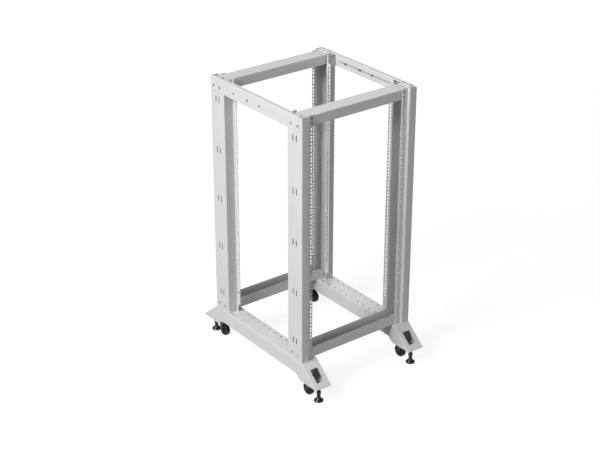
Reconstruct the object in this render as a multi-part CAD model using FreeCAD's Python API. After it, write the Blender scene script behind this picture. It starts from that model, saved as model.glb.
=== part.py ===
import FreeCAD, Part
import math
import os

V = FreeCAD.Vector
os.makedirs("parts", exist_ok=True)

# Four post open frame rack on casters and levelling feet. Millimetres, +Z up, the floor
# at z = 0, the centre of the rack at x = y = 0 and its front towards -Y.

# ---- 19 inch standard -------------------------------------------------------------
UNIT = 44.45                 # height of one rack unit
UNITS = 21                   # units between the crossbars
UNIT_HOLE_COUNT = 3
UNIT_HOLE_EDGE = 6.35        # lowest hole above the foot of its unit
UNIT_HOLE_PITCH = 15.875
CLEAR_WIDTH = 450.0          # opening between the mounting strips
COLUMN_INSET = 7.55          # hole column behind the free edge of its strip
SQUARE = 9.5                 # side of a square hole

# ---- sheet metal ------------------------------------------------------------------
SHEET = 2.0
BEND = 1.0                   # inside radius of every fold

# ---- overall ----------------------------------------------------------------------
FRAME_DEPTH = 615.0          # over the faces of the front and rear posts

# ---- posts ------------------------------------------------------------------------
POST_DEPTH = 93.5
STRIP_WIDTH = 27.0           # mounting strip from its free edge to the step
POST_FACE = 38.0             # plain outer face
POST_STEP = 13.0             # setback of the mounting strip
POST_RETURN = 4.5            # fold at the strip's free edge
POST_INNER = 44.5            # inner flange
POST_LIP = 24.0              # perforated lip towards the middle of the rack
SLOT_WIDTH = 6.0             # cable tie slots in the web
SLOT_HEIGHT = 20.0
SLOT_GAP = 21.0              # between the two slots of a pair
SLOT_ROWS = 5
SLOT_BOTTOM = 84.5           # lowest pair above the foot of the post
SLOT_TOP = 96.0              # highest pair below the top of the post
SCREW_GAP = 42.0             # between the two screws that hold an end of a post
SCREW_HOLE = 6.5

# ---- base rails -------------------------------------------------------------------
RAIL_WIDTH = 80.0
RAIL_HEIGHT = 62.0
RAIL_GROUND = 97.5           # underside of the walls between the feet
RAIL_OVER = 1.0              # rail wall outside the post web
FOOT_GROUND = 75.0           # underside of the feet
FOOT_REACH = 97.0            # tip of a foot beyond the face of the posts
FOOT_CURVE = 41.0            # length of the S-curve between wall and foot
FOOT_BACK = 5.0              # foot of the S-curve behind the face of the posts
FOOT_TIP = 2.5               # upright edge at the tip
FOOT_FLOOR = 2.5
GRID_ROWS = 11
GRID_EDGE = 14.0             # last holes short of the inner flange of the posts
GRID_SPACING = 50.0          # between the two rows of round holes
GRID_HOLE = 9.0
WINDOW_WIDTH = 38.0          # cut-out in the sloping plate
WINDOW_LENGTH = 62.0
WINDOW_DOWN = 37.5           # from the top edge of the slope
WINDOW_ROUND = 3.0
EDGE_ROUND = 3.0             # long upper edges of the base rails

# ---- crossbars --------------------------------------------------------------------
LOW_BAR_SHORT = 4.0          # lower crossbar ends before the step of the strip
TOP_BAR_PLAY = 1.5           # between the upper crossbar and the leg of the bracket
LOW_BAR_DEPTH = 61.0
LOW_BAR_HEIGHT = 48.0
TOP_BAR_DEPTH = 68.0
TOP_BAR_HEIGHT = 43.0
BAR_SCREW_GAP = 21.5         # between the two screws through a strip
BAY_BELOW = 42.5             # plain strip under the lowest unit
BAY_ABOVE = 7.0              # plain strip between the highest unit and the crossbar
NOTCH = 2.0                  # strip's return stops short of the crossbars

# ---- top side rails ---------------------------------------------------------------
TOP_RAIL_WIDTH = 22.5        # flange over the posts
TOP_RAIL_HEIGHT = 60.0
TOP_RAIL_LIP = 20.0          # folded down along the flange between the posts
TOP_RAIL_LIP_PLAY = 2.0      # between the lip and the posts
TOP_RAIL_SHORT = 17.5        # from the face of the posts to the rail's end
TOP_RAIL_SCREWS = 37.0       # screws below the top
WEB_HOLE_REAR = 143.0        # three holes along the web, from the middle of the rack
WEB_HOLE_MIDDLE = 47.0
WEB_HOLE_FRONT = -33.0
WEB_HOLE_DROP = 33.0
WEB_HOLE = 7.0

# ---- corner brackets --------------------------------------------------------------
BRACKET_FLAT = 30.0
BRACKET_EDGE = 9.0           # beyond the screw nearest the middle of the rack
BRACKET_PLAY = 6.5           # short of the post's outer face
BRACKET_RISE = 46.0
BRACKET_SHEET = 2.5
LOW_SCREWS = 27.0            # screws above the foot of the post
FLAT_SCREWS = 13.0           # screws in from the post web

# ---- casters ----------------------------------------------------------------------
WHEEL_RADIUS = 28.0
WHEEL_WIDTH = 20.0
WHEEL_BEVEL = 3.0
HUB_RADIUS = 8.0
HUB_OVER = 0.8               # hub stands out of the wheel on each side
DISH_RADIUS = 18.0
DISH_DEPTH = 4.0
DISH_DRAFT = 1.0
AXLE_RADIUS = 4.0
AXLE_PLAY = 0.05
AXLE_HEAD = 6.5
AXLE_HEAD_HEIGHT = 2.0
TRAIL = 17.0                 # axle behind the swivel
SWIVEL_IN = 15.0             # swivel outside the face of the posts
FORK_SHEET = 2.5
FORK_PLAY = 0.7              # between hub and fork leg
FORK_EYE = 9.5
FORK_CROWN = 18.0
FORK_OVER_WHEEL = 6.0
PLATE_LENGTH = 60.0
PLATE_WIDTH = 38.0
PLATE_SHEET = 2.5
PLATE_ROUND = 5.0
RACE_RADIUS = 14.0
RACE_FLARE = 3.0
SWIVEL_GAP = 0.3             # over and under the crown of the fork
KINGPIN_RADIUS = 5.0
KINGPIN_PLAY = 0.05
KINGPIN_HEAD = 7.5
KINGPIN_HEAD_HEIGHT = 1.3

# ---- levelling feet ---------------------------------------------------------------
LEVEL_OUT = 64.5             # stud outside the face of the posts
STUD_RADIUS = 5.0
STUD_PLAY = 0.05
STUD_TOP = 93.0
STUD_BEVEL = 1.0
PAD_RADIUS = 20.0
PAD_RIM = 4.0
PAD_CONE = 14.0
PAD_NECK = 8.0
PAD_BEVEL = 2.0
PAD_TOP = 25.0
HEX_WIDTH = 17.0
HEX_LOW = 31.0
HEX_HEIGHT = 14.0
NUT_HEIGHT = 10.0

# ---- worked out from the sizes above ----------------------------------------------
STRIP_EDGE = CLEAR_WIDTH / 2
STEP_X = STRIP_EDGE + STRIP_WIDTH
COLUMN = STRIP_EDGE + COLUMN_INSET
HALF_W = STEP_X + POST_FACE
HALF_D = FRAME_DEPTH / 2
RAIL_TOP = RAIL_GROUND + RAIL_HEIGHT
RAIL_OUT = HALF_W + RAIL_OVER
RAIL_MID = RAIL_OUT - RAIL_WIDTH / 2
RAIL_IN = RAIL_OUT - RAIL_WIDTH
BAY_LOW = RAIL_TOP + LOW_BAR_HEIGHT + BAY_BELOW
BAY_HIGH = BAY_LOW + UNITS * UNIT
TOP_BAR_LOW = BAY_HIGH + BAY_ABOVE
POST_TOP = TOP_BAR_LOW + TOP_BAR_HEIGHT + BRACKET_SHEET
RACK_TOP = POST_TOP + SHEET
STRIP_Y = HALF_D - POST_STEP
INNER_Y = HALF_D - POST_DEPTH
POST_MID = HALF_D - POST_DEPTH / 2
BAR_FACE = STRIP_Y - SHEET
LOW_BAR_END = STEP_X - LOW_BAR_SHORT
TOP_BAR_END = HALF_W - SHEET - BRACKET_SHEET - TOP_BAR_PLAY
FOOT_TIP_Y = HALF_D + FOOT_REACH
FOOT_Y = HALF_D - FOOT_BACK
SWIVEL_Y = HALF_D + SWIVEL_IN
LEVEL_Y = HALF_D + LEVEL_OUT
WHEEL_Y = SWIVEL_Y - TRAIL
PLATE_LOW = FOOT_GROUND - PLATE_SHEET
CROWN_LOW = 2 * WHEEL_RADIUS + FORK_OVER_WHEEL

SIDES = {"left": -1, "right": 1}
ENDS = {"front": -1, "rear": 1}
PAIR = (-0.5, 0.5)


def box(x0, x1, y0, y1, z0, z1):
    return Part.makeBox(x1 - x0, y1 - y0, z1 - z0, V(x0, y0, z0))


def mirrored(shape, side, end):
    """Take a shape made for the right rear corner to another corner."""
    if side < 0:
        shape = shape.mirror(V(), V(1, 0, 0))
    if end < 0:
        shape = shape.mirror(V(), V(0, 1, 0))
    return shape


def folded(points, thick=SHEET, bend=BEND):
    """Closed wire of a folded sheet in XY: points run along its outer line, sheet on the left."""
    pts = [V(x, y, 0) for x, y in points]
    dirs = [(b - a).normalize() for a, b in zip(pts, pts[1:])]
    lefts = [V(-d.y, d.x, 0) for d in dirs]

    def side(offset):
        edges, start = [], pts[0] + lefts[0] * offset
        for k in range(1, len(dirs)):
            turn = dirs[k - 1].cross(dirs[k]).z
            half = math.acos(max(-1.0, min(1.0, dirs[k - 1].dot(dirs[k])))) / 2
            inside = (offset > 0) == (turn > 0)
            radius = bend if inside else bend + thick
            mitre = (lefts[k - 1] + lefts[k]).normalize() * (offset / math.cos(half))
            corner = pts[k] + mitre
            back = radius * math.tan(half)
            a = corner - dirs[k - 1] * back
            b = corner + dirs[k] * back
            middle = corner + (dirs[k] - dirs[k - 1]).normalize() * (radius / math.cos(half) - radius)
            edges += [Part.makeLine(start, a), Part.Arc(a, middle, b).toShape()]
            start = b
        end = pts[-1] + lefts[-1] * offset
        edges.append(Part.makeLine(start, end))
        return edges, end

    outer, outer_end = side(0)
    inner, inner_end = side(thick)
    caps = [Part.makeLine(pts[0], pts[0] + lefts[0] * thick), Part.makeLine(outer_end, inner_end)]
    return Part.Wire(Part.__sortEdges__(outer + inner + caps))


def prism(wire, height):
    """Face from a wire, pushed along Z."""
    return Part.Face(wire).extrude(V(0, 0, height))


def across(x, y, z, radius, depth):
    """Drill along X from x."""
    return Part.makeCylinder(radius, depth, V(x, y, z), V(1, 0, 0))


def down_through(x, y, z, radius, depth):
    """Drill upwards from z."""
    return Part.makeCylinder(radius, depth, V(x, y, z))


def hole_heights():
    return [BAY_LOW + n * UNIT + UNIT_HOLE_EDGE + k * UNIT_HOLE_PITCH
            for n in range(UNITS) for k in range(UNIT_HOLE_COUNT)]


def bar_screws(low, height):
    """Screws through the mounting strips and the crossbar behind them."""
    return [V(COLUMN, BAR_FACE, low + height / 2 + s * BAR_SCREW_GAP) for s in PAIR]


def post_screws():
    """Distances from the middle of the rack of the two screws at each end of a post."""
    return [POST_MID + s * SCREW_GAP for s in PAIR]


# ---- posts ------------------------------------------------------------------------
def post():
    """Right rear post: web, plain face, stepped mounting strip, inner flange and lip."""
    line = [
        (STRIP_EDGE, STRIP_Y - POST_RETURN),
        (STRIP_EDGE, STRIP_Y),
        (STEP_X, STRIP_Y),
        (STEP_X, HALF_D),
        (HALF_W, HALF_D),
        (HALF_W, INNER_Y),
        (HALF_W - POST_INNER, INNER_Y),
        (HALF_W - POST_INNER, INNER_Y - POST_LIP),
    ]
    body = prism(folded([(x, -y) for x, y in line]), POST_TOP - RAIL_TOP)
    body = body.mirror(V(), V(0, 1, 0))
    body.translate(V(0, 0, RAIL_TOP))

    cuts = []
    lip_x = HALF_W - POST_INNER
    lip_y = INNER_Y - POST_LIP / 2
    for z in hole_heights():
        a, b = z - SQUARE / 2, z + SQUARE / 2
        cuts.append(box(COLUMN - SQUARE / 2, COLUMN + SQUARE / 2,
                        STRIP_Y - 2 * SHEET, STRIP_Y + SHEET, a, b))
        cuts.append(box(lip_x - 2 * SHEET, lip_x + SHEET,
                        lip_y - SQUARE / 2, lip_y + SQUARE / 2, a, b))
    low, high = RAIL_TOP + SLOT_BOTTOM, POST_TOP - SLOT_TOP
    for n in range(SLOT_ROWS):
        z = low + (high - low) * n / (SLOT_ROWS - 1)
        for s in PAIR:
            y = POST_MID + s * SLOT_GAP
            cuts.append(box(HALF_W - 2 * SHEET, HALF_W + SHEET,
                            y - SLOT_WIDTH / 2, y + SLOT_WIDTH / 2,
                            z - SLOT_HEIGHT / 2, z + SLOT_HEIGHT / 2))
    for z in (RAIL_TOP + LOW_SCREWS, RACK_TOP - TOP_RAIL_SCREWS):
        for y in post_screws():
            cuts.append(across(HALF_W - 2 * SHEET, y, z, SCREW_HOLE / 2, 3 * SHEET))
    for p in bar_screws(RAIL_TOP, LOW_BAR_HEIGHT) + bar_screws(TOP_BAR_LOW, TOP_BAR_HEIGHT):
        cuts.append(Part.makeCylinder(SCREW_HOLE / 2, 3 * SHEET, p - V(0, SHEET, 0), V(0, 1, 0)))
    # the strip's return stops where the crossbars pass behind the strip
    for z0, z1 in ((RAIL_TOP, RAIL_TOP + LOW_BAR_HEIGHT + NOTCH), (TOP_BAR_LOW - NOTCH, POST_TOP)):
        cuts.append(box(STRIP_EDGE - SHEET, STRIP_EDGE + SHEET + BEND,
                        STRIP_Y - 2 * POST_RETURN, BAR_FACE, z0, z1))
    # room for the fold of the top rail along the upper edge of the web
    edge = Part.Face(Part.makePolygon([V(HALF_W - BEND, 0, POST_TOP), V(HALF_W, 0, POST_TOP),
                                       V(HALF_W, 0, POST_TOP - BEND), V(HALF_W - BEND, 0, POST_TOP)]))
    cuts.append(edge.extrude(V(0, FRAME_DEPTH, 0)))
    return body.cut(cuts)


# ---- base rails with their feet ----------------------------------------------------
def s_curve(lift):
    """Two equal arcs from the foot's underside up to the wall's lower edge."""
    y0, z0 = FOOT_Y - FOOT_CURVE, RAIL_GROUND + lift
    y1, z1 = FOOT_Y, FOOT_GROUND + lift
    ym, zm = (y0 + y1) / 2, (z0 + z1) / 2
    half = math.atan2(z0 - z1, y1 - y0)
    radius = math.hypot(ym - y0, z0 - zm) / (2 * math.sin(half))
    a = V(0, y0 + radius * math.sin(half), z0 - radius * (1 - math.cos(half)))
    b = V(0, y1 - radius * math.sin(half), z1 + radius * (1 - math.cos(half)))
    return [Part.Arc(V(0, y1, z1), b, V(0, ym, zm)).toShape(),
            Part.Arc(V(0, ym, zm), a, V(0, y0, z0)).toShape()]


def rail_outline():
    """Half side profile in YZ from the middle to the tip of the foot, as edges."""
    tip = FOOT_TIP_Y
    return [
        Part.makeLine(V(0, 0, RAIL_TOP), V(0, HALF_D, RAIL_TOP)),
        Part.makeLine(V(0, HALF_D, RAIL_TOP), V(0, tip, FOOT_GROUND + FOOT_TIP)),
        Part.makeLine(V(0, tip, FOOT_GROUND + FOOT_TIP), V(0, tip, FOOT_GROUND)),
        Part.makeLine(V(0, tip, FOOT_GROUND), V(0, FOOT_Y, FOOT_GROUND)),
    ] + s_curve(0) + [
        Part.makeLine(V(0, FOOT_Y - FOOT_CURVE, RAIL_GROUND), V(0, 0, RAIL_GROUND)),
    ]


def slope():
    """Unit vectors down the slope and out of it, for the right rear foot."""
    down = V(0, FOOT_REACH, FOOT_GROUND + FOOT_TIP - RAIL_TOP).normalize()
    return down, V(0, -down.z, down.y)


def base_rail():
    """Right base rail: one folded inverted channel that deepens into a foot at each end."""
    half = rail_outline()
    other = [e.mirror(V(), V(0, 1, 0)) for e in half]
    wire = Part.Wire(Part.__sortEdges__(half + other))
    body = Part.Face(wire).extrude(V(RAIL_WIDTH, 0, 0))
    body.translate(V(RAIL_IN, 0, 0))
    top_edges = [e for e in body.Edges
                 if e.BoundBox.XLength < SHEET and e.BoundBox.YLength > SHEET
                 and e.BoundBox.ZMax > RAIL_TOP - BEND]
    body = body.makeFillet(EDGE_ROUND, top_edges)

    # hollow inside: under the top, behind the slope and above the floor of each foot
    down, out = slope()
    shift = SHEET / out.z
    fall = (RAIL_TOP - FOOT_GROUND - FOOT_TIP) / FOOT_REACH
    knee = HALF_D - (shift - SHEET) / fall
    floor_z = FOOT_GROUND + FOOT_FLOOR
    low_y = HALF_D + (RAIL_TOP - shift - floor_z) / fall
    curve = s_curve(FOOT_FLOOR)
    end_y = FOOT_Y - FOOT_CURVE
    side = [Part.makeLine(V(0, 0, RAIL_TOP - SHEET), V(0, knee, RAIL_TOP - SHEET)),
            Part.makeLine(V(0, knee, RAIL_TOP - SHEET), V(0, low_y, floor_z)),
            Part.makeLine(V(0, low_y, floor_z), V(0, FOOT_Y, floor_z))] + curve + [
            Part.makeLine(V(0, end_y, RAIL_GROUND + FOOT_FLOOR), V(0, end_y, 0)),
            Part.makeLine(V(0, end_y, 0), V(0, 0, 0))]
    side += [e.mirror(V(), V(0, 1, 0)) for e in side]
    hollow = Part.Face(Part.Wire(Part.__sortEdges__(side))).extrude(V(RAIL_WIDTH - 2 * SHEET, 0, 0))
    hollow.translate(V(RAIL_IN + SHEET, 0, 0))
    body = body.cut(hollow)

    cuts = []
    first = INNER_Y - GRID_EDGE
    for n in range(GRID_ROWS):
        y = first * (2 * n / (GRID_ROWS - 1) - 1)
        for s in PAIR:
            cuts.append(down_through(RAIL_MID + s * GRID_SPACING, y,
                                     RAIL_TOP - 2 * SHEET, GRID_HOLE / 2, 3 * SHEET))
    window = box(-WINDOW_WIDTH / 2, WINDOW_WIDTH / 2, WINDOW_DOWN, WINDOW_DOWN + WINDOW_LENGTH,
                 -2 * SHEET, 2 * SHEET)
    window = window.makeFillet(WINDOW_ROUND, [e for e in window.Edges if e.BoundBox.ZLength > SHEET])
    window.rotate(V(), V(1, 0, 0), math.degrees(math.atan2(down.z, down.y)))
    window.translate(V(RAIL_MID, HALF_D, RAIL_TOP))
    stud = down_through(RAIL_MID, LEVEL_Y, FOOT_GROUND - FOOT_FLOOR,
                        STUD_RADIUS + STUD_PLAY, 3 * FOOT_FLOOR)
    for end in (-1, 1):
        cuts += [mirrored(window, 1, end), mirrored(stud, 1, end)]
    return body.cut(cuts)


# ---- crossbars --------------------------------------------------------------------
def crossbar(depth, height, low, end, opens_up):
    """Rear crossbar: a folded channel against the back of the mounting strips."""
    line = [(0, height), (0, 0), (depth, 0), (depth, height)]
    body = prism(folded(line), 2 * end)
    body.rotate(V(), V(1, 0, 0), 90)
    body.rotate(V(), V(0, 0, 1), 90)
    if not opens_up:
        body = body.mirror(V(), V(0, 0, 1))
        body.translate(V(0, 0, height))
    bounds = body.BoundBox
    body.translate(V(-(bounds.XMin + bounds.XMax) / 2, BAR_FACE - bounds.YMax, low - bounds.ZMin))
    cuts = [Part.makeCylinder(SCREW_HOLE / 2, 3 * SHEET, p - V(0, 2 * SHEET, 0), V(0, 1, 0))
            for p in bar_screws(low, height)]
    if end > HALF_W - FLAT_SCREWS:
        cuts += [down_through(HALF_W - FLAT_SCREWS, y, low + height - 2 * SHEET,
                              SCREW_HOLE / 2, 3 * SHEET)
                 for y in post_screws()]
    return body.cut(cuts + [mirrored(c, -1, 1) for c in cuts])


# ---- top side rails ---------------------------------------------------------------
def top_rail():
    """Right top rail: its web outside the posts, a flange over them and a lip between them."""
    out = HALF_W + SHEET
    half = HALF_D - TOP_RAIL_SHORT
    line = [(0, 0), (0, TOP_RAIL_HEIGHT), (-TOP_RAIL_WIDTH, TOP_RAIL_HEIGHT),
            (-TOP_RAIL_WIDTH, TOP_RAIL_HEIGHT - TOP_RAIL_LIP)]
    body = prism(folded(line), 2 * half)
    body.rotate(V(), V(1, 0, 0), 90)
    body.translate(V(out, half, RACK_TOP - TOP_RAIL_HEIGHT))

    cuts = []
    lip_end = INNER_Y - POST_LIP - TOP_RAIL_LIP_PLAY
    lip_x = out - TOP_RAIL_WIDTH
    for y0, y1 in ((-half, -lip_end), (lip_end, half)):
        cuts.append(box(lip_x - SHEET, lip_x + SHEET + BEND, y0, y1,
                        RACK_TOP - 2 * TOP_RAIL_LIP, POST_TOP))
    for y in post_screws():
        for end in (-1, 1):
            cuts.append(across(HALF_W - SHEET, end * y, RACK_TOP - TOP_RAIL_SCREWS,
                               SCREW_HOLE / 2, 3 * SHEET))
            cuts.append(down_through(HALF_W - FLAT_SCREWS, end * y, POST_TOP - SHEET,
                                     SCREW_HOLE / 2, 3 * SHEET))
    for y in (WEB_HOLE_REAR, WEB_HOLE_MIDDLE, WEB_HOLE_FRONT):
        cuts.append(across(HALF_W - SHEET, y, RACK_TOP - WEB_HOLE_DROP, WEB_HOLE / 2, 3 * SHEET))
    return body.cut(cuts)


# ---- corner brackets --------------------------------------------------------------
def bracket(z, opens_up, screw_z):
    """Right rear angle bracket inside a post end: one leg on the web, one flat."""
    inner = min(post_screws()) - BRACKET_EDGE
    outer = HALF_D - SHEET - BRACKET_PLAY
    line = [(-BRACKET_FLAT, 0), (0, 0), (0, BRACKET_RISE)]
    body = prism(folded(line, BRACKET_SHEET), outer - inner)
    body.rotate(V(), V(1, 0, 0), 90)
    if not opens_up:
        body = body.mirror(V(), V(0, 0, 1))
    body.translate(V(HALF_W - SHEET, outer, z))
    cuts = []
    for y in post_screws():
        cuts.append(across(HALF_W - SHEET - 2 * BRACKET_SHEET, y, screw_z,
                           SCREW_HOLE / 2, 3 * BRACKET_SHEET))
        cuts.append(down_through(HALF_W - FLAT_SCREWS, y, z - 2 * BRACKET_SHEET,
                                 SCREW_HOLE / 2, 4 * BRACKET_SHEET))
    return body.cut(cuts)


# ---- casters ----------------------------------------------------------------------
def caster_plate():
    """Right rear mounting plate with its bearing race and kingpin."""
    plate = box(-PLATE_LENGTH / 2, PLATE_LENGTH / 2, -PLATE_WIDTH / 2, PLATE_WIDTH / 2,
                PLATE_LOW, FOOT_GROUND)
    upright = [e for e in plate.Edges if e.BoundBox.ZLength > PLATE_SHEET / 2]
    plate = plate.makeFillet(PLATE_ROUND, upright)
    race_low = CROWN_LOW + FORK_SHEET + SWIVEL_GAP
    head_low = CROWN_LOW - SWIVEL_GAP - KINGPIN_HEAD_HEIGHT
    race = Part.makeCone(RACE_RADIUS, RACE_RADIUS + RACE_FLARE, PLATE_LOW - race_low, V(0, 0, race_low))
    pin = Part.makeCylinder(KINGPIN_RADIUS, race_low - head_low, V(0, 0, head_low))
    head = Part.makeCylinder(KINGPIN_HEAD, KINGPIN_HEAD_HEIGHT, V(0, 0, head_low))
    body = plate.fuse([race, pin, head]).removeSplitter()
    body.translate(V(RAIL_MID, SWIVEL_Y, 0))
    return body


def leg_outline(reach):
    """Fork leg in YZ: from the crown down both sides of the eye round the axle."""
    axle_y, axle_z = -TRAIL, WHEEL_RADIUS
    top = CROWN_LOW + FORK_SHEET
    touch = []
    for start, turn in ((-reach, -1), (reach, 1)):
        dy, dz = axle_y - start, axle_z - top
        dist = math.hypot(dy, dz)
        angle = math.atan2(dz, dy) + turn * math.asin(FORK_EYE / dist)
        run = math.sqrt(dist ** 2 - FORK_EYE ** 2)
        touch.append((start + run * math.cos(angle), top + run * math.sin(angle)))
    return [(-reach, top), touch[0], (axle_y, axle_z), touch[1], (reach, top), (-reach, top)]


def caster_fork():
    """Right rear fork: crown round the kingpin, two tapering legs and the axle."""
    inner = WHEEL_WIDTH / 2 + HUB_OVER + FORK_PLAY
    outer = inner + FORK_SHEET
    crown = Part.makeCylinder(FORK_CROWN, FORK_SHEET, V(0, 0, CROWN_LOW))
    crown = crown.common(box(-outer, outer, -FORK_CROWN, FORK_CROWN, CROWN_LOW, CROWN_LOW + FORK_SHEET))
    outline = leg_outline(math.sqrt(FORK_CROWN ** 2 - outer ** 2))
    legs, end = [], outer + AXLE_HEAD_HEIGHT
    for x0 in (inner, -outer):
        legs.append(across(x0, -TRAIL, WHEEL_RADIUS, FORK_EYE, FORK_SHEET))
        leg = Part.Face(Part.makePolygon([V(x0, y, z) for y, z in outline]))
        legs.append(leg.extrude(V(FORK_SHEET, 0, 0)))
    axle = across(-end, -TRAIL, WHEEL_RADIUS, AXLE_RADIUS, 2 * end)
    heads = [across(x, -TRAIL, WHEEL_RADIUS, AXLE_HEAD, AXLE_HEAD_HEIGHT) for x in (-end, outer)]
    body = crown.fuse(legs + [axle] + heads)
    body = body.cut(down_through(0, 0, CROWN_LOW - FORK_SHEET,
                                 KINGPIN_RADIUS + KINGPIN_PLAY, 3 * FORK_SHEET))
    body = body.removeSplitter()
    body.translate(V(RAIL_MID, SWIVEL_Y, 0))
    return body


def caster_wheel():
    """Right rear wheel, turned about its axle along X: tread, dished sides and hub."""
    w, r, e = WHEEL_WIDTH / 2, WHEEL_RADIUS, WHEEL_BEVEL
    h, bore = w + HUB_OVER, AXLE_RADIUS + AXLE_PLAY
    dish = w - DISH_DEPTH
    half = [(h, bore), (h, HUB_RADIUS), (dish, HUB_RADIUS + DISH_DRAFT), (dish, DISH_RADIUS),
            (w, DISH_RADIUS + DISH_DRAFT), (w, r - e), (w - e, r)]
    points = half + [(-x, y) for x, y in reversed(half)]
    points.append(points[0])
    body = Part.Face(Part.makePolygon([V(x, y, 0) for x, y in points])).revolve(V(), V(1, 0, 0), 360)
    body.translate(V(RAIL_MID, WHEEL_Y, WHEEL_RADIUS))
    return body


# ---- levelling feet ---------------------------------------------------------------
def hexagon(width, height, z):
    radius = width / math.sqrt(3)
    turns = [math.radians(60 * k + 30) for k in range(7)]
    pts = [V(radius * math.cos(t), radius * math.sin(t), z) for t in turns]
    return Part.Face(Part.makePolygon(pts)).extrude(V(0, 0, height))


def levelling_foot():
    """Right rear levelling foot: round pad, coned neck, wrench hexagon and stud."""
    pts = [(0, 0), (PAD_RADIUS, 0), (PAD_RADIUS, PAD_RIM), (PAD_NECK + PAD_BEVEL, PAD_CONE),
           (PAD_NECK, PAD_CONE + PAD_BEVEL), (PAD_NECK, PAD_TOP), (STUD_RADIUS, PAD_TOP),
           (STUD_RADIUS, STUD_TOP - STUD_BEVEL), (STUD_RADIUS - STUD_BEVEL, STUD_TOP),
           (0, STUD_TOP), (0, 0)]
    body = Part.Face(Part.makePolygon([V(x, 0, z) for x, z in pts])).revolve(V(), V(0, 0, 1), 360)
    body = body.fuse(hexagon(HEX_WIDTH, HEX_HEIGHT, HEX_LOW)).removeSplitter()
    body.translate(V(RAIL_MID, LEVEL_Y, 0))
    return body


def levelling_nut():
    """Right rear nut on the floor of the foot, round the stud."""
    low = FOOT_GROUND + FOOT_FLOOR
    nut = hexagon(HEX_WIDTH, NUT_HEIGHT, low)
    nut = nut.cut(down_through(0, 0, low - NUT_HEIGHT, STUD_RADIUS + STUD_PLAY, 3 * NUT_HEIGHT))
    nut.translate(V(RAIL_MID, LEVEL_Y, 0))
    return nut


def save(name, shape):
    if shape.ShapeType != "Solid" and len(shape.Solids) == 1:
        shape = shape.Solids[0]
    shape.exportStep("parts/%s.step" % name)


def main():
    corner = {
        "post": post(),
        "top_bracket": bracket(POST_TOP, False, RACK_TOP - TOP_RAIL_SCREWS),
        "foot_bracket": bracket(RAIL_TOP, True, RAIL_TOP + LOW_SCREWS),
        "caster_plate": caster_plate(),
        "caster_fork": caster_fork(),
        "caster_wheel": caster_wheel(),
        "levelling_foot": levelling_foot(),
        "levelling_nut": levelling_nut(),
    }
    for name, shape in corner.items():
        for end, e in ENDS.items():
            for side, s in SIDES.items():
                save("%s_%s_%s" % (name, end, side), mirrored(shape, s, e))
    for name, shape in (("top_side_rail", top_rail()), ("base_side_rail", base_rail())):
        for side, s in SIDES.items():
            save("%s_%s" % (name, side), mirrored(shape, s, 1))
    bars = {
        "top_crossbar": crossbar(TOP_BAR_DEPTH, TOP_BAR_HEIGHT, TOP_BAR_LOW, TOP_BAR_END, False),
        "bottom_crossbar": crossbar(LOW_BAR_DEPTH, LOW_BAR_HEIGHT, RAIL_TOP, LOW_BAR_END, True),
    }
    for name, shape in bars.items():
        for end, e in ENDS.items():
            save("%s_%s" % (name, end), mirrored(shape, 1, e))


main()
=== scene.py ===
import bpy
import bmesh
import math
from mathutils import Matrix, Vector

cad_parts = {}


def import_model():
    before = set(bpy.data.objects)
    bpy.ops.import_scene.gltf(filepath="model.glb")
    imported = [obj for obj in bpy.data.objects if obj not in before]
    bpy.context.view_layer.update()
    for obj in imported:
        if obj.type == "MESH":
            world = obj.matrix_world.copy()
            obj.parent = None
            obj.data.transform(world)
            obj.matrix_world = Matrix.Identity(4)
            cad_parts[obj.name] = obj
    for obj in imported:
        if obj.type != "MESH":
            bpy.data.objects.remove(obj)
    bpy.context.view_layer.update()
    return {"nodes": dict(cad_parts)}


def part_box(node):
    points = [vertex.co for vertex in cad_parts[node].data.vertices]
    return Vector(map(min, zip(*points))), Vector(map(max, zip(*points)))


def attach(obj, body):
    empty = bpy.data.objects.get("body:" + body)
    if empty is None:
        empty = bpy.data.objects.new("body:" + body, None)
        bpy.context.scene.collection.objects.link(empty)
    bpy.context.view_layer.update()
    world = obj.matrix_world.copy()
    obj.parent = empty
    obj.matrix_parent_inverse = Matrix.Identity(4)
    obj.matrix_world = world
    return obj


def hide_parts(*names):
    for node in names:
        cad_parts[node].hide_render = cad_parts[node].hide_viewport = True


# Lengths of the object are in millimetres, and those of the stage in metres.
MM = 0.001
SHARP = math.radians(32)            # edges bent more than this are shaded sharp

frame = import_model()
nodes = frame["nodes"]
SIDES = {"left": -1, "right": 1}
ENDS = {"front": -1, "rear": 1}
CORNERS = [(end + "_" + side, e, s) for end, e in ENDS.items() for side, s in SIDES.items()]


# ---- materials ----------------------------------------------------------------------
DRIFT_SCALE, DRIFT_DETAIL, DRIFT_ROUGH = 6.0, 4.0, 0.6
DRIFT_STOPS = (0.3, 0.7)            # where the noise reaches the darker and the lighter grey
GLOSS_SPREAD = 0.06                 # roughness either side of its mean
GRAIN_DETAIL, GRAIN_ROUGH, GRAIN_STRENGTH = 3.0, 0.55, 0.35


def tree(name):
    mat = bpy.data.materials.new(name)
    mat.use_nodes = True
    nt = mat.node_tree
    return mat, nt, nt.nodes["Principled BSDF"]


def noise(nt, scale, detail, rough):
    coord = nt.nodes.new("ShaderNodeTexCoord")
    node = nt.nodes.new("ShaderNodeTexNoise")
    node.inputs["Scale"].default_value = scale
    node.inputs["Detail"].default_value = detail
    node.inputs["Roughness"].default_value = rough
    nt.links.new(coord.outputs["Object"], node.inputs["Vector"])
    return node.outputs["Fac"]


def grey_ramp(nt, source, levels):
    node = nt.nodes.new("ShaderNodeValToRGB")
    for element, stop, level in zip(node.color_ramp.elements, DRIFT_STOPS, levels):
        element.position = stop
        element.color = (level, level, level, 1)
    nt.links.new(source, node.inputs["Fac"])
    return node.outputs["Color"]


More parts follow.
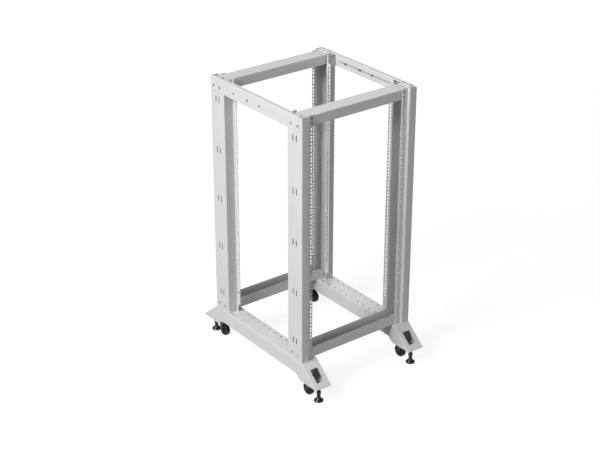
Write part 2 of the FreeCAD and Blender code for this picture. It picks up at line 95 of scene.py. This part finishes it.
def scaled(nt, source, low, high):
    node = nt.nodes.new("ShaderNodeMapRange")
    node.inputs["To Min"].default_value = low
    node.inputs["To Max"].default_value = high
    nt.links.new(source, node.inputs["Value"])
    return node.outputs["Result"]


def bumped(nt, height, distance):
    node = nt.nodes.new("ShaderNodeBump")
    node.inputs["Strength"].default_value = GRAIN_STRENGTH
    node.inputs["Distance"].default_value = distance
    nt.links.new(height, node.inputs["Height"])
    return node.outputs["Normal"]


def coat(name, dark, light, rough, grain, depth, metallic=0.0, specular=0.5):
    """Painted, plated or moulded grey: slow colour drift, uneven gloss and a fine grain.

    grain is the scale of its noise, and depth its height in metres."""
    mat, nt, bsdf = tree(name)
    drift = noise(nt, DRIFT_SCALE, DRIFT_DETAIL, DRIFT_ROUGH)
    gloss = scaled(nt, drift, rough - GLOSS_SPREAD, rough + GLOSS_SPREAD)
    fine = noise(nt, grain, GRAIN_DETAIL, GRAIN_ROUGH)
    nt.links.new(grey_ramp(nt, drift, (dark, light)), bsdf.inputs["Base Color"])
    nt.links.new(gloss, bsdf.inputs["Roughness"])
    nt.links.new(bumped(nt, fine, depth), bsdf.inputs["Normal"])
    bsdf.inputs["Metallic"].default_value = metallic
    bsdf.inputs["Specular IOR Level"].default_value = specular
    return mat


PAINT = coat("powder_coat_light_grey", 0.628, 0.658, 0.58, 900.0, 0.00006, specular=0.35)
BLACK = coat("black_coated_steel", 0.012, 0.018, 0.28, 700.0, 0.00005, specular=0.35)
WHEEL = coat("black_moulded_nylon", 0.008, 0.014, 0.42, 500.0, 0.00008, specular=0.2)
ZINC = coat("zinc_plated_steel", 0.30, 0.38, 0.38, 1500.0, 0.00003, metallic=1.0)
NUT = coat("dull_zinc_rivet_nut", 0.20, 0.28, 0.45, 1500.0, 0.00003, metallic=1.0)
# Dark grey screw heads, not metal: the dark grey is painted shade of each recess and of the shadow
# beside each head.
DARK = coat("dark_screw_painted_shade", 0.110, 0.150, 0.38, 1500.0, 0.00003)

PAINTED = ("post", "top_", "bottom_", "base_", "foot_bracket")
for name, node in nodes.items():
    finish = BLACK
    if name.startswith(PAINTED):
        finish = PAINT
    elif name.startswith("caster_wheel"):
        finish = WHEEL
    for slot in node.material_slots:
        slot.material = finish


# ---- measures -------------------------------------------------------------------------
def corners(node):
    """Lowest and highest corner of a node at rest."""
    return [[c / MM for c in corner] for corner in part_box(node)]


def middle(node):
    return [(a + b) / 2 for a, b in zip(*corners(node))]


post_low, post_high = corners("post_rear_right")
POST_OUT, POST_FACE, POST_BACK = post_high[0], post_high[1], post_low[1]
WEB_OUT, _, RACK_TOP = corners("top_side_rail_right")[1]
BASE_TOP = corners("base_side_rail_right")[1][2]
PLATE_MID, PLATE_TOP = middle("caster_plate_rear_right"), corners("caster_plate_rear_right")[1][2]
STUD_MID, STUD_TOP = middle("levelling_foot_rear_right"), corners("levelling_foot_rear_right")[1][2]

SHEET = 2.5                         # caster plates, foot brackets and floors of the feet
COLUMN = 232.55                     # square holes of a strip, from the middle of the rack
STRIP_Y = POST_FACE - 13.0          # the strip lies behind the post's face
WEB_MID = 260.75                    # middle of the post's web
WEB_SCREWS = (WEB_MID - 21.0, WEB_MID + 21.0)
TOP_WEB_Z = RACK_TOP - 37.0         # screws through the side rail's web
LOW_WEB_Z = BASE_TOP + 27.0         # screws through the post's web
FLAT_X = POST_OUT - 13.0            # upright screws at both ends of a post
BAR_SCREW_HALF = 10.75              # half the spacing of a crossbar's screws
LOW_BAR_MID, TOP_BAR_MID = BASE_TOP + 24.0, RACK_TOP - 26.0
BOLT_X, BOLT_Y = 23.0, 13.0         # caster bolts from the middle of the plate
NUT_PLACES = (-33.0, 47.0, 143.0)   # rivet nuts along a top side rail
NUT_Z = RACK_TOP - 33.0
THREAD_LOW, THREAD_END = 46.0, 1.5  # lower end, and plain length over the upper end

# ---- shapes of the small hardware -------------------------------------------------------
SEGMENTS = 24
CROSS_SEGMENTS = 16                 # as many as a cross recess has points
SINK = 0.05                         # every head reaches this far into its seat
FOOT_SHARE = 0.96                   # of a head's radius, at its seat

BUTTON_RADIUS, BUTTON_HEIGHT = 5.3, 3.2
BUTTON_DOME = ((1.0, 0.22), (0.95, 0.48), (0.82, 0.76), (0.64, 0.93))   # radius, height
SOCKET, SOCKET_DEPTH = 2.0, 1.9
PAN_RADIUS, PAN_HEIGHT = 4.6, 2.2
PAN_DOME = ((1.0, 0.35), (0.93, 0.66), (0.78, 0.9), (0.62, 1.0))        # both as shares
CROSS_ARM, CROSS_HALF, CROSS_DEPTH = 0.54 * PAN_RADIUS, 0.14 * PAN_RADIUS, 1.4
HEX_WIDTH, HEX_HEIGHT = 10.0, 4.6
WASHER_RADIUS, WASHER_HEIGHT, WASHER_BEVEL = 6.6, 1.1, 0.2
RIVET_FLANGE, RIVET_SLEEVE, RIVET_BORE = 4.9, 3.35, 2.9
RIVET_PROUD, RIVET_DEPTH, RIVET_BORED = 0.7, 11.0, 9.0
PITCH, RIDGE, THREAD_RADIUS = 1.5, 0.32, 5.0
RIDGE_FOOT, RIDGE_CREST, RIDGE_ROOT = 0.55, 0.12, 0.1   # half widths, and depth into the stud


def ring(radius, z, hexagon=False, count=SEGMENTS, first=0):
    """Points round Z: a circle, or a hexagon given by its inscribed circle."""
    points = []
    for k in range(first, first + count):
        turn = 2 * math.pi * k / count
        r = radius
        if hexagon:
            r /= math.cos((turn + math.pi / 6) % (math.pi / 3) - math.pi / 6)
        points.append((r * math.cos(turn), r * math.sin(turn), z))
    return points


def cross_ring(reach, half, z):
    """Points round a cross of four arms, four to an arm."""
    points = []
    for quarter in range(4):
        c, s = math.cos(quarter * math.pi / 2), math.sin(quarter * math.pi / 2)
        for x, y in ((reach, -half), (reach, 0), (reach, half), (half, half)):
            points.append((x * c - y * s, x * s + y * c, z))
    return points


def skin(bm, at, out, rings):
    """Closed skin over rings of points, which stack from a place along a direction."""
    turn = Vector(out).to_track_quat("Z", "Y").to_matrix().to_4x4()
    place = Matrix.Translation(Vector(at) * MM) @ turn
    loops = [[bm.verts.new(place @ (Vector(p) * MM)) for p in points] for points in rings]
    for low, high in zip(loops, loops[1:]):
        for k in range(len(low)):
            n = (k + 1) % len(low)
            bm.faces.new((low[k], low[n], high[n], high[k]))
    bm.faces.new(list(reversed(loops[0])))
    bm.faces.new(loops[-1])


def socket_screw(bm, at, out):
    """Button head with a hexagon socket."""
    dome = [ring(BUTTON_RADIUS * r, BUTTON_HEIGHT * z) for r, z in BUTTON_DOME]
    skin(bm, at, out, [
        ring(BUTTON_RADIUS * FOOT_SHARE, -SINK), ring(BUTTON_RADIUS, 0.15), *dome,
        ring(SOCKET * 1.35, BUTTON_HEIGHT), ring(SOCKET * 1.08, BUTTON_HEIGHT, True),
        ring(SOCKET, BUTTON_HEIGHT - 0.15, True),
        ring(SOCKET * 0.97, BUTTON_HEIGHT - SOCKET_DEPTH, True),
        ring(SOCKET * 0.5, BUTTON_HEIGHT - SOCKET_DEPTH - 0.2, True)])


def cross_screw(bm, at, out):
    """Pan head with a cross recess, whose rings start where the recess does."""
    def circle(share, z):
        return ring(PAN_RADIUS * share, z, count=CROSS_SEGMENTS, first=-1)

    skin(bm, at, out, [
        circle(FOOT_SHARE, -SINK), circle(1.0, 0.2),
        *[circle(r, PAN_HEIGHT * z) for r, z in PAN_DOME],
        cross_ring(CROSS_ARM, CROSS_HALF, PAN_HEIGHT),
        cross_ring(CROSS_ARM * 0.9, CROSS_HALF * 0.9, PAN_HEIGHT - CROSS_DEPTH * 0.7),
        cross_ring(CROSS_ARM * 0.35, CROSS_HALF * 0.8, PAN_HEIGHT - CROSS_DEPTH)])


def hex_bolt(bm, at, out):
    """Hexagon head with a rounded top, on a washer."""
    skin(bm, at, out, [
        ring(WASHER_RADIUS, -SINK), ring(WASHER_RADIUS, WASHER_HEIGHT - WASHER_BEVEL),
        ring(WASHER_RADIUS - 0.3, WASHER_HEIGHT), ring(HEX_WIDTH / 2, WASHER_HEIGHT, True),
        ring(HEX_WIDTH / 2, HEX_HEIGHT * 0.88, True), ring(HEX_WIDTH * 0.47, HEX_HEIGHT)])


def rivet_nut(bm, at, out):
    """Flange and sleeve of a blind rivet nut in a punched hole."""
    skin(bm, at, out, [
        ring(2.0, -RIVET_DEPTH), ring(RIVET_SLEEVE, 0.4 - RIVET_DEPTH), ring(RIVET_SLEEVE, 0.0),
        ring(RIVET_FLANGE, 0.0), ring(RIVET_FLANGE, 0.4), ring(RIVET_FLANGE - 0.3, RIVET_PROUD),
        ring(RIVET_BORE + 0.3, RIVET_PROUD), ring(RIVET_BORE, 0.3),
        ring(RIVET_BORE, -RIVET_BORED), ring(1.0, -RIVET_BORED - 0.4)])


def thread(bm, x, y, low, high):
    """Screw thread round an upright stud, as one ridge from low to high."""
    count = int((high - low) / PITCH * SEGMENTS)
    rows = []
    for k in range(count + 1):
        a = 2 * math.pi * k / SEGMENTS
        z = low + (high - low) * k / count
        crest = THREAD_RADIUS + RIDGE * min(1.0, k / SEGMENTS, (count - k) / SEGMENTS)
        root = THREAD_RADIUS - RIDGE_ROOT
        outline = ((root, -RIDGE_FOOT), (crest, -RIDGE_CREST),
                   (crest, RIDGE_CREST), (root, RIDGE_FOOT))
        rows.append([bm.verts.new(Vector((x + r * math.cos(a), y + r * math.sin(a), z + dz)) * MM)
                     for r, dz in outline])
    for a, b in zip(rows, rows[1:]):
        for k in range(4):
            n = (k + 1) % 4
            bm.faces.new((a[k], b[k], b[n], a[n]))
    bm.faces.new(rows[0])
    bm.faces.new(list(reversed(rows[-1])))


# ---- small hardware in its places -------------------------------------------------------
def post_screws(bm, e, s):
    for y in WEB_SCREWS:
        socket_screw(bm, (s * WEB_OUT, e * y, TOP_WEB_Z), (s, 0, 0))
        socket_screw(bm, (s * POST_OUT, e * y, LOW_WEB_Z), (s, 0, 0))
        socket_screw(bm, (s * FLAT_X, e * y, RACK_TOP), (0, 0, 1))
        socket_screw(bm, (s * FLAT_X, e * y, BASE_TOP + SHEET), (0, 0, 1))


def bar_screws(bm, e, s, mid):
    for z in (mid - BAR_SCREW_HALF, mid + BAR_SCREW_HALF):
        cross_screw(bm, (s * COLUMN, e * STRIP_Y, z), (0, e, 0))


def caster_bolts(bm, e, s):
    for x in (-BOLT_X, BOLT_X):
        for y in (-BOLT_Y, BOLT_Y):
            at = (s * PLATE_MID[0] + x, e * PLATE_MID[1] + y)
            hex_bolt(bm, (*at, PLATE_TOP - SHEET), (0, 0, -1))
            hex_bolt(bm, (*at, PLATE_TOP + SHEET), (0, 0, 1))


def stud_thread(bm, e, s):
    thread(bm, s * STUD_MID[0], e * STUD_MID[1], THREAD_LOW, STUD_TOP - THREAD_END)


def rivet_nuts(bm, s):
    for y in NUT_PLACES:
        rivet_nut(bm, (s * WEB_OUT, y, NUT_Z), (s, 0, 0))


def finished(mesh, material):
    """Smooth shading with sharp edges, and one material all over."""
    for polygon in mesh.polygons:
        polygon.use_smooth = True
        polygon.material_index = 0
    mesh.set_sharp_from_angle(angle=SHARP)
    mesh.materials.clear()
    mesh.materials.append(material)


def added(name, mesh):
    obj = bpy.data.objects.new(name, mesh)
    bpy.context.scene.collection.objects.link(obj)
    return obj


def fitted(name, body, material, slot, build, *where):
    """One mesh of small hardware that rides on a body."""
    bm = bmesh.new()
    build(bm, *where)
    mesh = bpy.data.meshes.new(name)
    bm.to_mesh(mesh)
    bm.free()
    finished(mesh, material)
    obj = added(name, mesh)
    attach(obj, body)


for tag, e, s in CORNERS:
    fitted("post_screws_" + tag, "frame", ZINC, "black_steel", post_screws, e, s)
    # The top crossbar screws get the dark grey with painted shade of their recesses.
    fitted("top_crossbar_screws_" + tag, "frame", DARK, "black_steel",
           bar_screws, e, s, TOP_BAR_MID)
    fitted("low_crossbar_screws_" + tag, "frame", PAINT, "frame_paint",
           bar_screws, e, s, LOW_BAR_MID)
    fitted("caster_bolts_" + tag, "frame", DARK, "black_steel", caster_bolts, e, s)
    fitted("stud_thread_" + tag, "leveller_" + tag, BLACK, "black_steel", stud_thread, e, s)

for side, s in SIDES.items():
    fitted("rivet_nuts_" + side, "frame", NUT, "black_steel", rivet_nuts, s)


# ---- posts ----------------------------------------------------------------------------
LIP_CUT = 36.0                      # the lip stops short of both ends of its post
LIP_LOST = 16.0                     # of the lip's width, which leaves a narrow return
LIP_NEAR, LIP_FAR = 240.0, 250.0    # either side of the lip's sheet
LIP_PAST = 5.0                      # cut past the lip's free edge
SLOT_ROWS, SLOT_COLUMNS = 5, (WEB_MID - 10.5, WEB_MID + 10.5)
SLOT_LOW, SLOT_HIGH = 84.5, 96.0    # outer rows from the foot and the top of the post
SLOT_DROP, SLOT_RISE = 10.0, 18.0   # slot below and above its place in the row
SLOT_HALF = 3.0                     # half its width
SLOT_IN, SLOT_OUT = 4.0, 2.0        # cut inside and outside the web's outer side


def block(bm, low, high):
    """Box between two corners, given in any order."""
    pairs = [sorted(pair) for pair in zip(low, high)]
    for vert in bmesh.ops.create_cube(bm, size=1.0)["verts"]:
        vert.co = [((a + b) / 2 + c * (b - a)) * MM for (a, b), c in zip(pairs, vert.co)]


def lip_ends_and_slots(bm, e, s):
    """Blocks to cut: both ends of the lip, and the slots for cable ties."""
    for z in (post_low[2], post_high[2]):
        block(bm, (s * LIP_NEAR, e * (POST_BACK - LIP_PAST), z - LIP_CUT),
              (s * LIP_FAR, e * (POST_BACK + LIP_LOST), z + LIP_CUT))
    low, high = post_low[2] + SLOT_LOW, post_high[2] - SLOT_HIGH
    for row in range(SLOT_ROWS):
        z = low + (high - low) * row / (SLOT_ROWS - 1)
        for y in SLOT_COLUMNS:
            block(bm, (s * (POST_OUT - SLOT_IN), e * (y - SLOT_HALF), z - SLOT_DROP),
                  (s * (POST_OUT + SLOT_OUT), e * (y + SLOT_HALF), z + SLOT_RISE))


def cut_copy(node, name, build, *where):
    """Copy of a painted CAD node with blocks cut out of it, which stands in for the node."""
    bm = bmesh.new()
    bm.from_mesh(nodes[node].data)
    bmesh.ops.remove_doubles(bm, verts=bm.verts, dist=1e-6)
    whole = bpy.data.meshes.new(name + "_whole")
    bm.to_mesh(whole)
    bm.clear()
    build(bm, *where)
    tool = bpy.data.meshes.new(name + "_tool")
    bm.to_mesh(tool)
    bm.free()
    obj, cutter = added(name, whole), added(name + "_tool", tool)
    cut = obj.modifiers.new("cut", "BOOLEAN")
    cut.object, cut.operation, cut.solver = cutter, "DIFFERENCE", "EXACT"
    result = obj.evaluated_get(bpy.context.evaluated_depsgraph_get())
    mesh = bpy.data.meshes.new_from_object(result)
    obj.modifiers.clear()
    obj.data = mesh
    bpy.data.objects.remove(cutter)
    for spare in (whole, tool):
        bpy.data.meshes.remove(spare)
    mesh.name = name
    if "custom_normal" in mesh.attributes:
        mesh.attributes.remove(mesh.attributes["custom_normal"])
    finished(mesh, PAINT)
    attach(obj, "frame")
    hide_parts(node)


for tag, e, s in CORNERS:
    cut_copy("post_" + tag, "folded_post_" + tag, lip_ends_and_slots, e, s)


# ---- stage ----------------------------------------------------------------------------
FLOOR_HALF = 30.0
FLOOR_GREY, FLOOR_ROUGH = 0.2, 0.9
FLOOR_GLOW = 0.86                   # lights nothing on the object
SKY_LIGHT, SKY_SEEN = 0.258, 0.91   # strength for the object, and for the camera
WHITE = (1, 1, 1, 1)
AIM = Vector((0, 0, 0.7))
SOFTBOXES = (                       # name, place, size and power
    ("key", (-4.95, 0.0, 5.65), 1.6, 300),
    ("side", (-6.05, -1.29, 3.99), 1.6, 212),
    ("front", (-1.19, -6.74, 2.16), 2.2, 56),
    ("back", (4.93, 4.93, 1.31), 2.2, 180))


def floor():
    """Floor that keeps the object's shadow, with a glow for the camera and reflections."""
    mesh = bpy.data.meshes.new("floor")
    h = FLOOR_HALF
    mesh.from_pydata([(-h, -h, 0), (h, -h, 0), (h, h, 0), (-h, h, 0)], [], [(0, 1, 2, 3)])
    obj = added("floor", mesh)
    mat, nt, bsdf = tree("floor_white")
    bsdf.inputs["Base Color"].default_value = (FLOOR_GREY, FLOOR_GREY, FLOOR_GREY, 1)
    bsdf.inputs["Roughness"].default_value = FLOOR_ROUGH
    bsdf.inputs["Specular IOR Level"].default_value = 0.0
    path = nt.nodes.new("ShaderNodeLightPath")
    seen = nt.nodes.new("ShaderNodeMath")
    seen.operation = "MAXIMUM"
    nt.links.new(path.outputs["Is Camera Ray"], seen.inputs[0])
    nt.links.new(path.outputs["Is Glossy Ray"], seen.inputs[1])
    glow = nt.nodes.new("ShaderNodeEmission")
    glow.inputs["Color"].default_value = WHITE
    glow.inputs["Strength"].default_value = FLOOR_GLOW
    black = nt.nodes.new("ShaderNodeEmission")
    black.inputs["Strength"].default_value = 0.0
    mix = nt.nodes.new("ShaderNodeMixShader")
    add = nt.nodes.new("ShaderNodeAddShader")
    out = nt.nodes["Material Output"]
    nt.links.new(seen.outputs["Value"], mix.inputs["Fac"])
    nt.links.new(black.outputs["Emission"], mix.inputs[1])
    nt.links.new(glow.outputs["Emission"], mix.inputs[2])
    nt.links.new(bsdf.outputs["BSDF"], add.inputs[0])
    nt.links.new(mix.outputs["Shader"], add.inputs[1])
    nt.links.new(add.outputs["Shader"], out.inputs["Surface"])
    mesh.materials.append(mat)


def world():
    """Even sky, whose strength for the camera differs from its light on the object."""
    sky = bpy.data.worlds.new("studio")
    bpy.context.scene.world = sky
    sky.use_nodes = True
    nt = sky.node_tree
    light = nt.nodes["Background"]
    light.inputs["Color"].default_value = WHITE
    light.inputs["Strength"].default_value = SKY_LIGHT
    seen = nt.nodes.new("ShaderNodeBackground")
    seen.inputs["Color"].default_value = WHITE
    seen.inputs["Strength"].default_value = SKY_SEEN
    path = nt.nodes.new("ShaderNodeLightPath")
    mix = nt.nodes.new("ShaderNodeMixShader")
    nt.links.new(path.outputs["Is Camera Ray"], mix.inputs["Fac"])
    nt.links.new(light.outputs["Background"], mix.inputs[1])
    nt.links.new(seen.outputs["Background"], mix.inputs[2])
    nt.links.new(mix.outputs["Shader"], nt.nodes["World Output"].inputs["Surface"])


def softbox(name, place, size, power):
    data = bpy.data.lights.new(name, "AREA")
    data.shape = "SQUARE"
    data.size = size
    data.energy = power
    obj = added(name, data)
    obj.location = place
    obj.rotation_euler = (AIM - Vector(place)).to_track_quat("-Z", "Y").to_euler()


floor()
world()
for box in SOFTBOXES:
    softbox(*box)

# ---- camera ---------------------------------------------------------------------------
AZIMUTH, ELEVATION, ROLL = math.radians(-37.158), math.radians(25.555), math.radians(-0.088)
EYE = (-3.354, -4.300, 3.249)
SENSOR, LENS = 36.0, 85.9524
SHIFT_X, SHIFT_Y = 0.0098, -0.0192

data = bpy.data.cameras.new("camera")
data.sensor_width, data.lens = SENSOR, LENS
data.shift_x, data.shift_y = SHIFT_X, SHIFT_Y
camera = added("camera", data)
level = math.cos(ELEVATION)
back = Vector((math.sin(AZIMUTH) * level, -math.cos(AZIMUTH) * level, math.sin(ELEVATION)))
right = Vector((math.cos(AZIMUTH), math.sin(AZIMUTH), 0))
turn = Matrix((right, back.cross(right), back)).transposed() @ Matrix.Rotation(ROLL, 3, "Z")
camera.matrix_world = Matrix.Translation(EYE) @ turn.to_4x4()
bpy.context.scene.camera = camera
bpy.context.scene.view_settings.view_transform = "Standard"
